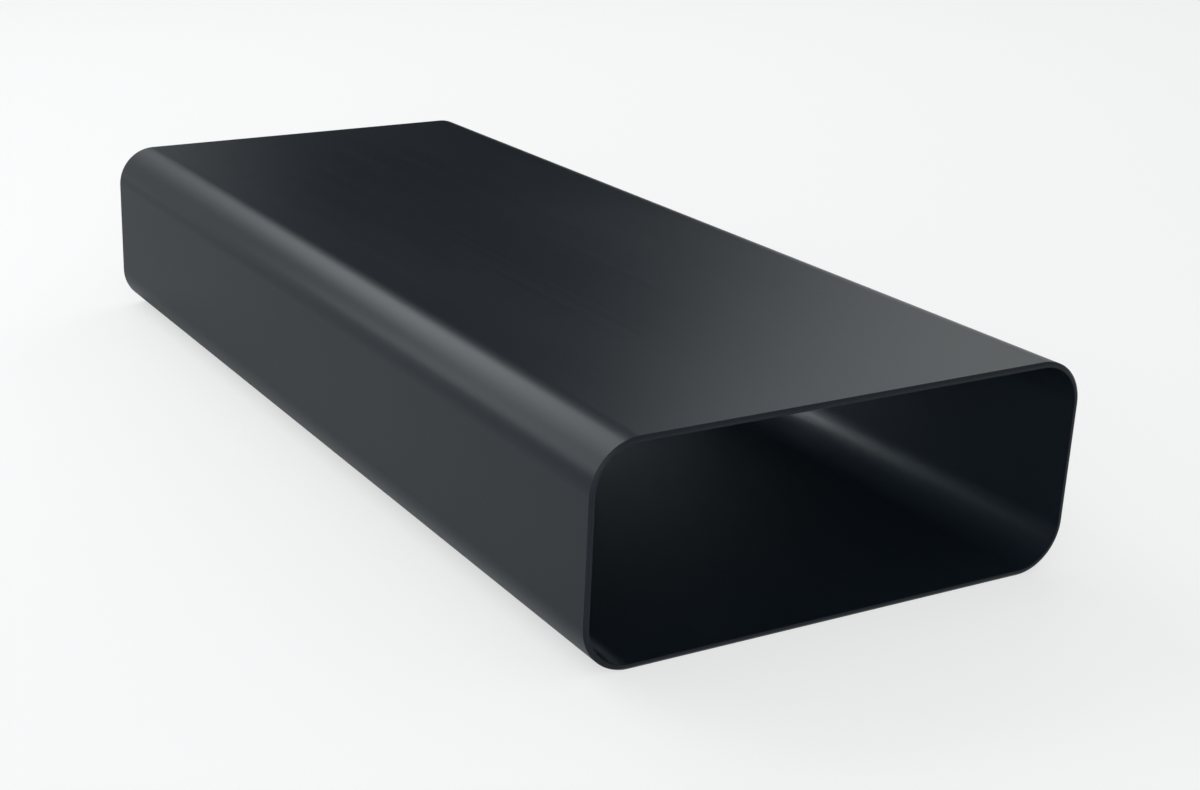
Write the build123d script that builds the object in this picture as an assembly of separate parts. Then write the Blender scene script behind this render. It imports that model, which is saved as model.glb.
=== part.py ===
from build123d import *
import os

# Flat channel duct: one straight extruded length of rigid plastic air duct, a
# flat rectangle with large rounded corners, open at both ends.
# The duct lies on its wide side. X is across it, Y along it and Z up, and the
# origin is the middle of its underside. All sizes are in millimetres.

# Outside of the section
WIDTH = 222.0
HEIGHT = 89.0
CORNER_RADIUS = 20.0

# Wall, the same all round, so outside and inside corners share a centre
WALL = 2.2

# Length as cut
LENGTH = 500.0

# Cut ends: the outer edge is bevelled over half the wall to lead into a
# sleeve, and the inner edge has its burr taken off
BEVEL_ACROSS = WALL / 2
BEVEL_ALONG = 0.8
INNER_EDGE_RADIUS = WALL / 10


def section(inset):
    """The section's outline, moved in from the outside by inset."""
    return RectangleRounded(WIDTH - 2 * inset, HEIGHT - 2 * inset, CORNER_RADIUS - inset)


def channel():
    """The plain extrusion, centred on the origin, along Y."""
    ring = section(0) - section(WALL)
    return extrude(Plane.XZ * ring, LENGTH / 2, both=True)


def cut_face(duct, end):
    """The flat face of one cut end, which lies furthest out along Y."""
    return duct.faces().sort_by(Axis.Y)[end]


def dress_end(duct, end):
    """Rounds off the inner edge of one cut end and bevels its outer edge."""
    bore_edge = cut_face(duct, end).inner_wires()[0].edges()
    duct = fillet(bore_edge, INNER_EDGE_RADIUS)
    face = cut_face(duct, end)
    return chamfer(face.outer_wire().edges(), BEVEL_ACROSS, BEVEL_ALONG, reference=face)


flat_duct = channel()
for front_or_rear in (0, -1):
    flat_duct = dress_end(flat_duct, front_or_rear)
flat_duct = Pos(0, 0, HEIGHT / 2) * flat_duct

os.makedirs("parts", exist_ok=True)
export_step(flat_duct, "parts/flat_duct.step")
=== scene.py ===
import math

import bpy
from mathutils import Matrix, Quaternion, Vector


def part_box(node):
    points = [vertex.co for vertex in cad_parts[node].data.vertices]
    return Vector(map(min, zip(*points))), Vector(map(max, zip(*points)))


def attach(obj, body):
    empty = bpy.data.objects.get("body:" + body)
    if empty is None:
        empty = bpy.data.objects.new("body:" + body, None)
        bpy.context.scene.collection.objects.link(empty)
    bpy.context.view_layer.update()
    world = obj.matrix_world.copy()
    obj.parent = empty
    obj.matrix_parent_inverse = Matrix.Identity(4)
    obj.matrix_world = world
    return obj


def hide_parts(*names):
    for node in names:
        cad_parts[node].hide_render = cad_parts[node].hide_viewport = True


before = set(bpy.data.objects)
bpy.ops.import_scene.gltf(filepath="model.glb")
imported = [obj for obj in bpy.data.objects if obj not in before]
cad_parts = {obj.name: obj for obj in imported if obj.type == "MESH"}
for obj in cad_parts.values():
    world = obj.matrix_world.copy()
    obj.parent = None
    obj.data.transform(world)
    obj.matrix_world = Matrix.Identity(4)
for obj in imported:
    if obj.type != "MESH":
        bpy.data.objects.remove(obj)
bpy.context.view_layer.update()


# Camera. It stands low, to the left of the open end, and looks down along the
# duct. The duct lies right of the lens's own axis, so the film is shifted.
FILM_WIDTH_MM = 36.0
PICTURE_WIDTH = 1200
LENS_IN_PIXELS = 1878.2
AXIS_COLUMN = 400
CAMERA_PLACE = Vector((-0.4303, -0.7453, 0.3172))
CAMERA_BEARING = math.radians(-26.516)
CAMERA_RISE = math.radians(19.818)
CAMERA_ROLL = math.radians(0.5145)
NEAREST_SEEN = 0.01
FURTHEST_SEEN = 300.0


def put(name, data):
    """Makes an object from a mesh, a lamp or a camera, and puts it in the scene."""
    made = bpy.data.objects.new(name, data)
    bpy.context.scene.collection.objects.link(made)
    return made


backward = Vector((
    math.sin(CAMERA_BEARING) * math.cos(CAMERA_RISE),
    -math.cos(CAMERA_BEARING) * math.cos(CAMERA_RISE),
    math.sin(CAMERA_RISE),
))
roll = Quaternion((0, 0, 1), CAMERA_ROLL)
lens = bpy.data.cameras.new("camera")
lens.sensor_width = FILM_WIDTH_MM
lens.lens = LENS_IN_PIXELS / PICTURE_WIDTH * FILM_WIDTH_MM
lens.shift_x = (PICTURE_WIDTH / 2 - AXIS_COLUMN) / PICTURE_WIDTH
lens.clip_start = NEAREST_SEEN
lens.clip_end = FURTHEST_SEEN
camera = put("camera", lens)
camera.location = CAMERA_PLACE
camera.rotation_mode = "QUATERNION"
camera.rotation_quaternion = (-backward).to_track_quat("-Z", "Y") @ roll
bpy.context.scene.camera = camera


# The duct is one length of rigid black plastic, extruded as a flat rectangle
# with large round corners and a wall of one thickness. It is sawn to length.
# Each sawn end is bevelled outside and scraped smooth at the bore.
CORNER_RADIUS = 0.020
WALL = 0.0022
BEVEL_ACROSS = WALL / 2
BEVEL_ALONG = 0.0008
BORE_EDGE_RADIUS = WALL / 10
CORNER_STEPS = 24
BORE_EDGE_STEPS = 4
LENGTH_STEPS = 10
QUARTER_TURN = math.radians(90)
SHARP_OVER = math.radians(25)

low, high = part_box("flat_duct")
half_width = (high.x - low.x) / 2
half_height = (high.z - low.z) / 2
half_length = (high.y - low.y) / 2
middle_height = (high.z + low.z) / 2


def outline(inset):
    """The section as (x, z) points on its four corner arcs, moved in from the outside by inset."""
    radius = CORNER_RADIUS - inset
    arc_across = half_width - CORNER_RADIUS
    arc_up = half_height - CORNER_RADIUS
    points = []
    for corner, (side, rise) in enumerate(((1, 1), (-1, 1), (-1, -1), (1, -1))):
        for step in range(CORNER_STEPS + 1):
            turn = QUARTER_TURN * (corner + step / CORNER_STEPS)
            points.append((
                side * arc_across + radius * math.cos(turn),
                middle_height + rise * arc_up + radius * math.sin(turn),
            ))
    return points


def scraped_edge(end, turns):
    """The rounded edge of the bore at one end (1 rear, -1 front), as (inset, y) points."""
    return [
        (
            WALL - BORE_EDGE_RADIUS * (1 - math.sin(turn)),
            end * (half_length - BORE_EDGE_RADIUS * (1 - math.cos(turn))),
        )
        for turn in turns
    ]


# Lengthwise section of the wall as (inset, y): along the outside to the rear,
# over the bevel and the sawn face, and back through the bore to the front.
outside_end = half_length - BEVEL_ALONG
bore_end = half_length - BORE_EDGE_RADIUS
edge_turns = [QUARTER_TURN * step / BORE_EDGE_STEPS for step in range(BORE_EDGE_STEPS + 1)]
wall_path = []
for step in range(LENGTH_STEPS + 1):
    wall_path.append((0.0, outside_end * (2 * step / LENGTH_STEPS - 1)))
wall_path.append((BEVEL_ACROSS, half_length))
wall_path.extend(scraped_edge(1, edge_turns))
for step in range(1, LENGTH_STEPS):
    wall_path.append((WALL, bore_end * (1 - 2 * step / LENGTH_STEPS)))
wall_path.extend(scraped_edge(-1, reversed(edge_turns)))
wall_path.append((BEVEL_ACROSS, -half_length))

corners = [(x, y, z) for inset, y in wall_path for x, z in outline(inset)]
around = len(outline(0))
faces = []
for ring in range(len(wall_path)):
    next_ring = (ring + 1) % len(wall_path)
    for point in range(around):
        next_point = (point + 1) % around
        faces.append((
            ring * around + point,
            ring * around + next_point,
            next_ring * around + next_point,
            next_ring * around + point,
        ))
duct_mesh = bpy.data.meshes.new("duct")
duct_mesh.from_pydata(corners, [], faces)
duct_mesh.validate()
duct_mesh.shade_smooth()
duct_mesh.set_sharp_from_angle(angle=SHARP_OVER)
duct = put("duct", duct_mesh)
flat_sides = duct.modifiers.new("flat_sides", "WEIGHTED_NORMAL")
flat_sides.keep_sharp = True


class Wire:
    """One output of a shader node. Arithmetic with it adds Math nodes to its tree."""

    def __init__(self, tree, socket=None):
        self.tree = tree
        self.socket = socket

    def node(self, kind, settings, inputs, output=0):
        """Adds a node: its type, its settings, and then the values or wires of its sockets."""
        made = self.tree.nodes.new(kind)
        for name, value in settings.items():
            setattr(made, name, value)
        for name, value in inputs.items():
            if isinstance(value, Wire):
                self.tree.links.new(value.socket, made.inputs[name])
            else:
                made.inputs[name].default_value = value
        if isinstance(output, tuple):
            return [Wire(self.tree, made.outputs[name]) for name in output]
        return Wire(self.tree, made.outputs[output]) if made.outputs else None

    def sum(self, operation, *values):
        """Adds a Math node."""
        return self.node("ShaderNodeMath", {"operation": operation}, dict(enumerate(values)))

    def __add__(self, other):
        return self.sum("ADD", self, other)

    def __radd__(self, other):
        return self.sum("ADD", other, self)

    def __sub__(self, other):
        return self.sum("SUBTRACT", self, other)

    def __rsub__(self, other):
        return self.sum("SUBTRACT", other, self)

    def __mul__(self, other):
        return self.sum("MULTIPLY", self, other)

    def __rmul__(self, other):
        return self.sum("MULTIPLY", other, self)

    def stretched(self, factors):
        """A place with each of its axes multiplied by its own factor."""
        return self.node("ShaderNodeVectorMath", {"operation": "MULTIPLY"}, {0: self, 1: factors})

    def noise(self, scale, detail):
        """Noise at this place, from 0 to 1, with scale features to the metre."""
        inputs = {"Vector": self, "Scale": scale, "Detail": detail}
        return self.node("ShaderNodeTexNoise", {"noise_dimensions": "3D"}, inputs, "Fac")

    def ramp(self, start, end):
        """Goes smoothly from 0 at start to 1 at end."""
        inputs = {"Value": self, "From Min": start, "From Max": end}
        return self.node("ShaderNodeMapRange", {"interpolation_type": "SMOOTHSTEP"}, inputs)

    def between(self, first, second):
        """Goes from the first colour to the second as this goes from 0 to 1."""
        inputs = {"Factor": self, 6: first, 7: second}
        return self.node("ShaderNodeMix", {"data_type": "RGBA"}, inputs, 2)


def blank(kind, name):
    """A new material or world without nodes, and the wire that its nodes start from."""
    made = kind.new(name)
    made.use_nodes = True
    made.node_tree.nodes.clear()
    return made, Wire(made.node_tree)


# The die leaves faint straight lines along the duct, and the plastic cools a
# little unevenly, in long soft clouds. Heights are in microns.
BLACK = (0.0050, 0.0090, 0.0140, 1)
WORN_BLACK = (0.0085, 0.0125, 0.0175, 1)
PLASTIC_IOR = 1.45
SATIN = 0.32
SATIN_SHEEN = 0.25
DRAW_LINES_PER_METRE = 700
LINE_STRETCH = (1, 0.006, 1)
LINE_WEAR = 0.25
LINE_ROUGHNESS = 0.05
LINE_HEIGHT = 1.4
CLOUDS_PER_METRE = 14
CLOUD_STRETCH = (1, 0.35, 1)
CLOUD_WEAR = 0.5
CLOUD_ROUGHNESS = 0.05
GRAIN_PER_METRE = 2600
GRAIN_ROUGHNESS = 0.06
GRAIN_HEIGHT = 0.7
MICRON = 0.000001

plastic, start = blank(bpy.data.materials, "black_plastic")
place = start.node("ShaderNodeTexCoord", {}, {}, "Object")
draw_lines = place.stretched(LINE_STRETCH).noise(DRAW_LINES_PER_METRE, 3)
clouds = place.stretched(CLOUD_STRETCH).noise(CLOUDS_PER_METRE, 3)
grain = place.noise(GRAIN_PER_METRE, 2)

wear = draw_lines.ramp(0.35, 0.75) * LINE_WEAR + clouds.ramp(0.3, 0.7) * CLOUD_WEAR
lined = SATIN + (draw_lines - 0.5) * LINE_ROUGHNESS
clouded = lined + (clouds - 0.5) * CLOUD_ROUGHNESS
height = draw_lines * LINE_HEIGHT + grain * GRAIN_HEIGHT
relief = {"Strength": 1.0, "Distance": MICRON, "Height": height}
surface = start.node("ShaderNodeBsdfPrincipled", {}, {
    "Base Color": wear.between(BLACK, WORN_BLACK),
    "Roughness": clouded + (grain - 0.5) * GRAIN_ROUGHNESS,
    "IOR": PLASTIC_IOR,
    "Specular IOR Level": SATIN_SHEEN,
    "Normal": start.node("ShaderNodeBump", {}, relief),
})
start.node("ShaderNodeOutputMaterial", {}, {"Surface": surface})
duct_mesh.materials.append(plastic)

# The two ends are duller, and show the fine marks of the saw's teeth.
SAWN_BLACK = (0.0060, 0.0085, 0.0120, 1)
PALE_TOOTH_MARK = (0.0100, 0.0135, 0.0175, 1)
SAWN = 0.50
SAWN_SHEEN = 0.20
SAW_LINES_PER_METRE = 2200
SAW_STRETCH = (1, 1, 0.04)
SAW_ROUGHNESS = 0.20
SAW_HEIGHT = 4.0
SAWN_SLOT = 1

sawn_plastic, start = blank(bpy.data.materials, "sawn_plastic")
place = start.node("ShaderNodeTexCoord", {}, {}, "Object")
saw_lines = place.stretched(SAW_STRETCH).noise(SAW_LINES_PER_METRE, 2)
grain = place.noise(GRAIN_PER_METRE, 2)
relief = {"Strength": 1.0, "Distance": MICRON, "Height": saw_lines * SAW_HEIGHT + grain}
surface = start.node("ShaderNodeBsdfPrincipled", {}, {
    "Base Color": saw_lines.ramp(0.45, 0.75).between(SAWN_BLACK, PALE_TOOTH_MARK),
    "Roughness": SAWN + (saw_lines - 0.5) * SAW_ROUGHNESS,
    "IOR": PLASTIC_IOR,
    "Specular IOR Level": SAWN_SHEEN,
    "Normal": start.node("ShaderNodeBump", {}, relief),
})
start.node("ShaderNodeOutputMaterial", {}, {"Surface": surface})
duct_mesh.materials.append(sawn_plastic)
for face in duct_mesh.polygons:
    nearest = min(abs(duct_mesh.vertices[corner].co.y) for corner in face.vertices)
    if nearest > outside_end - BEVEL_ALONG / 2:
        face.material_index = SAWN_SLOT

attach(duct, "root")
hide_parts("flat_duct")


# The floor is a wide sheet of smooth white card under the duct. It runs on far
# enough to fill the picture from most sides. In the picture and in reflections
# it is partly plain white, so that it looks nearly white and keeps the shadow.
FLOOR_HALF = 100.0
WHITE_CARD = (0.90, 0.90, 0.90, 1)
CARD_ROUGHNESS = 0.9
PLAIN_WHITE = (1, 1, 1, 1)
PLAIN_SHARE = 0.6
RAYS_THAT_SHOW = ("Is Camera Ray", "Is Glossy Ray", "Is Transmission Ray")


def rectangle(name, corner, first_side, second_side):
    """A flat piece with four corners: one of them, and the two sides that start there."""
    corner = Vector(corner)
    first = Vector(first_side)
    second = Vector(second_side)
    mesh = bpy.data.meshes.new(name)
    mesh.from_pydata([corner, corner + first, corner + first + second, corner + second], [], [(0, 1, 2, 3)])
    return put(name, mesh)


floor_corner = (-FLOOR_HALF, -FLOOR_HALF, 0)
floor = rectangle("floor", floor_corner, (2 * FLOOR_HALF, 0, 0), (0, 2 * FLOOR_HALF, 0))

card, start = blank(bpy.data.materials, "white_card")
direct, mirrored, through = start.node("ShaderNodeLightPath", {}, {}, RAYS_THAT_SHOW)
shown = start.sum("MAXIMUM", direct, start.sum("MAXIMUM", mirrored, through))
matt = start.node("ShaderNodeBsdfPrincipled", {}, {
    "Base Color": WHITE_CARD,
    "Roughness": CARD_ROUGHNESS,
})
plain = start.node("ShaderNodeEmission", {}, {"Color": PLAIN_WHITE, "Strength": 1.0})
lifted = start.node("ShaderNodeMixShader", {}, {0: shown * PLAIN_SHARE, 1: matt, 2: plain})
start.node("ShaderNodeOutputMaterial", {}, {"Surface": lifted})
floor.data.materials.append(card)


# The studio's own pale walls and ceiling light the duct softly from all round.
# Their light is even, and a little cooler than white.
COOL_WHITE = (0.97, 1.0, 1.01)
STUDIO_LEVEL = 0.56

studio, start = blank(bpy.data.worlds, "studio")
evenly = {"Color": (*COOL_WHITE, 1), "Strength": STUDIO_LEVEL}
walls = start.node("ShaderNodeBackground", {}, evenly)
start.node("ShaderNodeOutputWorld", {}, {"Surface": walls})
bpy.context.scene.world = studio
bpy.context.scene.view_settings.view_transform = "Standard"


# A cloth hangs far behind the duct, to the right, where its top mirrors it. Its
# colour is painted reflection: black in the middle, fading to white at both sides,
# so the top shows a painted shade from black to grey. The camera doesn't see it.
CLOTH_BEARING = math.radians(28)
CLOTH_DISTANCE = 8.0
CLOTH_HALF_WIDTH = 2.4
CLOTH_HEIGHT = 4.6
BLACK_FROM = -0.6
BLACK_TO = 1.2
# The cloth's black and white paint the dark reflection on the duct's top.
REFLECTION_SHADE_BLACK = (0.004, 0.004, 0.004, 1)
REFLECTION_SHADE_WHITE = (0.9, 0.9, 0.9, 1)

cloth_corner = (-CLOTH_HALF_WIDTH, 0, 0)
cloth = rectangle("graded_cloth", cloth_corner, (2 * CLOTH_HALF_WIDTH, 0, 0), (0, 0, CLOTH_HEIGHT))
cloth.location = CLOTH_DISTANCE * Vector((math.sin(CLOTH_BEARING), math.cos(CLOTH_BEARING), 0))
cloth.rotation_euler.z = -CLOTH_BEARING
cloth.visible_camera = False

reflection_cloth_material, start = blank(bpy.data.materials, "painted_reflection_cloth")
place = start.node("ShaderNodeTexCoord", {}, {}, "Object")
across = place.node("ShaderNodeSeparateXYZ", {}, {0: place}, "X")
fade = across.ramp(BLACK_TO, CLOTH_HALF_WIDTH) + across.ramp(BLACK_FROM, -CLOTH_HALF_WIDTH)
reflected_grade = start.node("ShaderNodeBsdfDiffuse", {}, {"Color": fade.between(REFLECTION_SHADE_BLACK, REFLECTION_SHADE_WHITE)})
start.node("ShaderNodeOutputMaterial", {}, {"Surface": reflected_grade})
cloth.data.materials.append(reflection_cloth_material)


# A sheet of paper lies on the floor to the left of the duct, where its left wall
# mirrors it. Its grey is painted reflection: white at the front and darker towards
# the rear, a painted shade that keeps the wall even. Only reflections show it.
SHEET_LEFT = -0.90
SHEET_RIGHT = -0.094
SHEET_FRONT = -0.30
SHEET_REAR = 1.60
SHEET_HEIGHT = 0.001
REFLECTION_GREY_FROM = 0.45
# The sheet's white and grey paint the reflected shade on the duct's left wall.
PAINTED_REFLECTION_WHITE = (0.88, 0.90, 0.90, 1)
PAINTED_REFLECTION_GREY = (0.43, 0.44, 0.44, 1)

sheet_corner = (SHEET_LEFT, SHEET_FRONT, SHEET_HEIGHT)
sheet_width = (SHEET_RIGHT - SHEET_LEFT, 0, 0)
sheet_length = (0, SHEET_REAR - SHEET_FRONT, 0)
sheet = rectangle("painted_reflection_sheet", sheet_corner, sheet_width, sheet_length)
sheet.visible_camera = False
sheet.visible_diffuse = False
sheet.visible_shadow = False

painted_reflection_paper, start = blank(bpy.data.materials, "painted_reflection_sheet")
place = start.node("ShaderNodeTexCoord", {}, {}, "Object")
along = place.node("ShaderNodeSeparateXYZ", {}, {0: place}, "Y")
reflection_grey = along.ramp(SHEET_FRONT, REFLECTION_GREY_FROM).between(PAINTED_REFLECTION_WHITE, PAINTED_REFLECTION_GREY)
matt = start.node("ShaderNodeBsdfDiffuse", {}, {"Color": reflection_grey})
start.node("ShaderNodeOutputMaterial", {}, {"Surface": matt})
sheet.data.materials.append(painted_reflection_paper)


# Four soft boxes stand round the duct. The rear one draws the bright line along
# the left top corner, the left one widens that line near the open end, the right
# one lights the top beside the open end, and the front one lights that end's rim.
DUCT_MIDDLE = Vector((0, 0, 0.05))
LEFT_CORNER = Vector((-0.11, -0.20, 0.08))
RIGHT_TOP = Vector((0.05, -0.10, 0.08))
OPEN_END = Vector((0, -0.25, 0.04))
REAR_BOX_PLACE = Vector((-0.31, 1.33, 1.25))
REAR_BOX_SIZE = (1.3, 0.75)
REAR_BOX_LEVEL = 3.0
LEFT_BOX_PLACE = Vector((-0.64, 0.45, 0.37))
LEFT_BOX_SIZE = (0.5, 0.36)
LEFT_BOX_LEVEL = 2.25
RIGHT_BOX_PLACE = Vector((1.40, 1.20, 1.30))
RIGHT_BOX_SIZE = (0.8, 0.6)
RIGHT_BOX_LEVEL = 2.4
FRONT_BOX_PLACE = Vector((-0.60, -1.40, 0.52))
FRONT_BOX_SIZE = (1.4, 0.9)
FRONT_BOX_LEVEL = 0.9
FRONT_BOX_SPREAD = 100
OPEN_SPREAD = 180


def soft_box(name, place, aim, size, level, spread=OPEN_SPREAD, tint=COOL_WHITE):
    """An area lamp with the power of a white card of its size, times level. Spread is in degrees."""
    width, height = size
    light = bpy.data.lights.new(name, "AREA")
    light.shape = "RECTANGLE"
    light.size = width
    light.size_y = height
    light.energy = level * math.pi * width * height
    light.spread = math.radians(spread)
    light.color = tint
    box = put(name, light)
    box.location = place
    box.rotation_mode = "QUATERNION"
    box.rotation_quaternion = (aim - place).to_track_quat("-Z", "Y")
    box.visible_camera = False


soft_box("rear_soft_box", REAR_BOX_PLACE, DUCT_MIDDLE, REAR_BOX_SIZE, REAR_BOX_LEVEL)
soft_box("left_soft_box", LEFT_BOX_PLACE, LEFT_CORNER, LEFT_BOX_SIZE, LEFT_BOX_LEVEL)
soft_box("right_soft_box", RIGHT_BOX_PLACE, RIGHT_TOP, RIGHT_BOX_SIZE, RIGHT_BOX_LEVEL)
soft_box("front_soft_box", FRONT_BOX_PLACE, OPEN_END, FRONT_BOX_SIZE, FRONT_BOX_LEVEL, FRONT_BOX_SPREAD)


# A small lamp with a honeycomb stands close behind the rear end and shines
# slantwise into the bore. It draws the bright line along the lower right corner.
BORE_LAMP_PLACE = Vector((-0.03, half_length + 0.055, 0.047))
BORE_LAMP_AIM = Vector((0.17, -0.07, -0.04))
BORE_LAMP_SIZE = (0.17, 0.06)
BORE_LAMP_LEVEL = 6.2
BORE_LAMP_SPREAD = 46
BORE_LAMP_TINT = (0.86, 0.96, 1.0)

soft_box(
    "bore_lamp",
    BORE_LAMP_PLACE,
    BORE_LAMP_AIM,
    BORE_LAMP_SIZE,
    BORE_LAMP_LEVEL,
    BORE_LAMP_SPREAD,
    BORE_LAMP_TINT,
)
